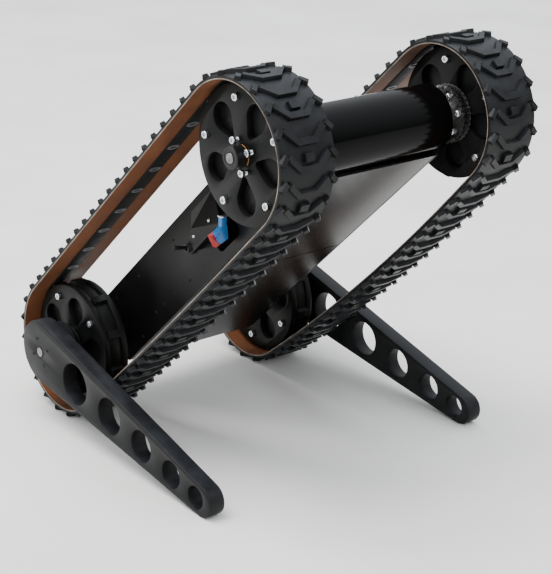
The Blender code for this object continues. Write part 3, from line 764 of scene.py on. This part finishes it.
def idler_wheel(label, side):
    """Free wheel on the flipper shaft, with its flanged hub."""
    body = wheel(label, side, "idler", CHASSIS, IDLER_BORE)[0]
    bm = bmesh.new()
    add_turned(bm, sided(IDLER_HUB, side), count=64)
    piece(body + "_flanged_hub", bm, CHASSIS, BLACK_STEEL, body, [label + "_idler_hub"])
    bm = bmesh.new()
    for i in range(3):
        add_dome_screw(bm, side * IDLER_HUB_FACE, side, polar(22.5, 20.0 + 120.0 * i), 2.4)
    piece(body + "_hub_screws", bm, CHASSIS, ZINC, body)


# ---- body ---------------------------------------------------------------------------------
def body_shell():
    """Materials of the plates and inner parts, the glossy tube and the small screws."""
    dress(PLATE_PAINT, ["left_side_plate", "right_side_plate", "connector_bracket", "left_tube_cap",
                        "right_tube_cap"])
    dress(PAINT, ["belly_panel_rear", "belly_panel_front", "top_cover", "nose_panel"])
    dress(STEEL, ["left_shaft_bearing", "right_shaft_bearing", "flipper_gearbox", "flipper_motor",
                  "left_drive_gearmotor", "right_drive_gearmotor", "flipper_shaft"])
    dress(BLACK_STEEL, ["power_switch_lever"])
    dress(WRAP_FILM, ["battery_left", "battery_right"])
    dress(ALUMINIUM, ["motor_controller"])
    dress(BLACK_PLASTIC, ["radio_receiver"])
    bm = bmesh.new()
    half = TUBE_HALF
    add_turned(bm, [(-half, TUBE_BORE), (-half, TUBE_RADIUS - 0.6), (-half + 0.6, TUBE_RADIUS),
                    (half - 0.6, TUBE_RADIUS), (half, TUBE_RADIUS - 0.6), (half, TUBE_BORE)], count=144)
    piece("glossy_drive_tube", bm, DRIVE, TUBE_PAINT, "chassis", ["drive_tube"])
    bm = bmesh.new()
    for side, places in PLATE_SCREWS:
        for place in places:
            add_dome_screw(bm, side * PLATE_X, side, place, 1.8)
    piece("plate_screws", bm, CHASSIS, BLACK_STEEL, "chassis")
    bm = bmesh.new()
    for place in BRACKET_SCREWS:
        add_dome_screw(bm, -BRACKET_X, LEFT, place, 2.3)
    piece("bracket_screws", bm, CHASSIS, ZINC, "chassis")


def add_cross_plate(bm, outline, u0, u1, edge):
    """Plate like add_plate's, with its outline in x and v and its thickness along u."""
    part = bmesh.new()
    add_plate(part, [outline], u0, u1, edge)
    for vert in part.verts:
        vert.co = (vert.co.y, vert.co.x, vert.co.z)
    mesh = bpy.data.meshes.new("cross_plate")
    part.to_mesh(mesh)
    part.free()
    bm.from_mesh(mesh)
    bpy.data.meshes.remove(mesh)


def connectors():
    """Two coupled power connector housings, bent at the joint, and the bright tab above them."""
    x = CONNECTOR_X
    stem = [(x + 4.8, 4.5), (x + 13.0, 4.5), (x + 13.0, 18.0), (x + 4.8, 18.0)]
    plug = [(x - 4.2, 0.0), (x + 3.8, -14.5), (x + 15.0, -10.0), (x + 13.6, 7.0), (x + 5.0, 7.0)]
    rib = [(x - 0.5, -1.5), (x + 4.4, -10.5), (x + 11.5, -7.5), (x + 10.5, 2.0), (x + 5.5, 3.5)]
    mate = [(x - 5.0, -6.5), (x + 3.2, -22.0), (x + 15.0, -17.0), (x + 13.5, -2.5), (x + 3.0, -2.5)]
    bm = bmesh.new()
    add_cross_plate(bm, stem, -2.6, 4.4, 0.7)
    add_cross_plate(bm, plug, -3.0, 5.0, 0.8)
    add_cross_plate(bm, rib, 4.6, 5.7, 0.3)
    piece("blue_power_housing", bm, HANG, BLUE, "chassis", ["blue_power_connector"])
    bm = bmesh.new()
    add_cross_plate(bm, mate, -12.3, -4.4, 0.8)
    piece("red_power_housing", bm, HANG, RED, "chassis", ["red_power_connector"])
    bm = bmesh.new()
    add_block(bm, x + 4.0, x + 17.0, -3.0, 5.0, 18.3, 20.0, 0.4)
    piece("contact_tab", bm, HANG, TIN, "chassis", ["connector_tab"])


def power_switch():
    """Threaded bushing with a hex nut and a lock ring; the bat lever swings on its own joint."""
    bm = bmesh.new()
    thread = []
    for i in range(6):
        thread += [(-112.4 - i, 5.6), (-112.9 - i, 6.0)]
    add_turned(bm, [(-96.0, 0.0), (-96.0, 6.0), (-108.2, 6.0), (-108.2, 9.4), (-109.0, 9.6), (-109.0, 9.2, 6),
                    (-111.8, 9.2, 6), (-112.1, 8.4, 6), *thread, (-118.0, 5.2), (-118.0, 3.4), (-114.0, 2.6),
                    (-114.0, 0.0)], SWITCH_PLACE, 36)
    piece("switch_bushing", bm, CHASSIS, BLACK_STEEL, "chassis", ["power_switch_body"])


def arm_outline():
    """Taper from the round root to the round tip."""
    return capsule((0.0, 0.0), ARM_ROOT, (ARM_LENGTH, 0.0), ARM_TIP, 0.0, (60, 32))


# ---- flippers -----------------------------------------------------------------------------
def flipper(label, side):
    inner, outer = ARM_FACES
    bm = bmesh.new()
    holes = [circle((u, 0.0), r, 64) for u, r in ARM_HOLES] + [circle((0.0, 0.0), 6.8, 32)]
    add_plate(bm, [arm_outline(), *holes], side * inner, side * outer, 1.9)
    piece(label + "_flipper_plate", bm, FLIPPER, ARM_NYLON, "flippers",
          [label + "_flipper_arm"])
    bm = bmesh.new()
    add_turned(bm, [(side * x, r) for x, r in ((184.0, 9.8), (184.0, 27.4), (184.6, 28.0), (190.0, 33.4),
                                               (190.8, 34.0), (206.3, 34.0), (206.9, 33.4), (206.9, 9.8))],
               count=72)
    piece(label + "_flipper_boss", bm, FLIPPER, ARM_NYLON, "flippers",
          [label + "_flipper_hub"])
    bm = bmesh.new()
    for i in range(4):
        add_dome_screw(bm, side * outer, side, polar(19.0, 35.0 + 90.0 * i), 2.1)
    piece(label + "_flipper_screws", bm, FLIPPER, BLACK_STEEL, "flippers")


# ---- surroundings -------------------------------------------------------------------------
def floor():
    """Wide pale floor under the tracks."""
    bm = bmesh.new()
    bmesh.ops.create_grid(bm, x_segments=1, y_segments=1, size=12.0)
    mesh = bpy.data.meshes.new("floor")
    bm.to_mesh(mesh)
    bm.free()
    mesh.materials.append(CONCRETE)
    item = bpy.data.objects.new("floor", mesh)
    bpy.context.scene.collection.objects.link(item)


def lights():
    """Sky that brightens towards the top, a large soft light above and a weak one in front."""
    world = bpy.data.worlds.new("soft_sky")
    bpy.context.scene.world = world
    world.use_nodes = True
    tree = world.node_tree
    sky = tree.nodes["Background"]
    sky.inputs["Color"].default_value = (0.92, 0.96, 1.0, 1.0)
    direction = tree.nodes.new("ShaderNodeTexCoord")
    split = tree.nodes.new("ShaderNodeSeparateXYZ")
    tree.links.new(direction.outputs["Generated"], split.inputs["Vector"])
    tree.links.new(add_range(tree, split.outputs["Z"], 0.0, 0.9, 0.35, 2.6), sky.inputs["Strength"])
    for name, place, aim, size, power in SOFT_LIGHTS:
        data = bpy.data.lights.new(name, "AREA")
        data.shape = "DISK"
        data.size = size
        data.energy = power
        item = bpy.data.objects.new(name, data)
        bpy.context.scene.collection.objects.link(item)
        item.location = place
        item.rotation_euler = (Vector(aim) - Vector(place)).to_track_quat("-Z", "Y").to_euler()


def camera():
    """Long lens above the front left corner, looking down on the chassis."""
    data = bpy.data.cameras.new("viewpoint")
    data.sensor_width = 36.0
    data.lens = LENS
    item = bpy.data.objects.new("viewpoint", data)
    bpy.context.scene.collection.objects.link(item)
    item.location = VIEW_PLACE
    yaw, pitch, roll = VIEW_TURN
    forward = Vector((math.sin(yaw) * math.cos(pitch), math.cos(yaw) * math.cos(pitch), -math.sin(pitch)))
    right = Vector((math.cos(yaw), -math.sin(yaw), 0.0))
    upward = right.cross(forward)
    right, upward = (right * math.cos(roll) + upward * math.sin(roll),
                     upward * math.cos(roll) - right * math.sin(roll))
    item.rotation_euler = Matrix((right, upward, -forward)).transposed().to_euler()
    bpy.context.scene.camera = item


camera()
lights()
floor()
for label, side in SIDES:
    track_belt(label, side)
    guide_strip(label, side)
    drive_wheel(label, side)
    idler_wheel(label, side)
    flipper(label, side)
body_shell()
connectors()
power_switch()
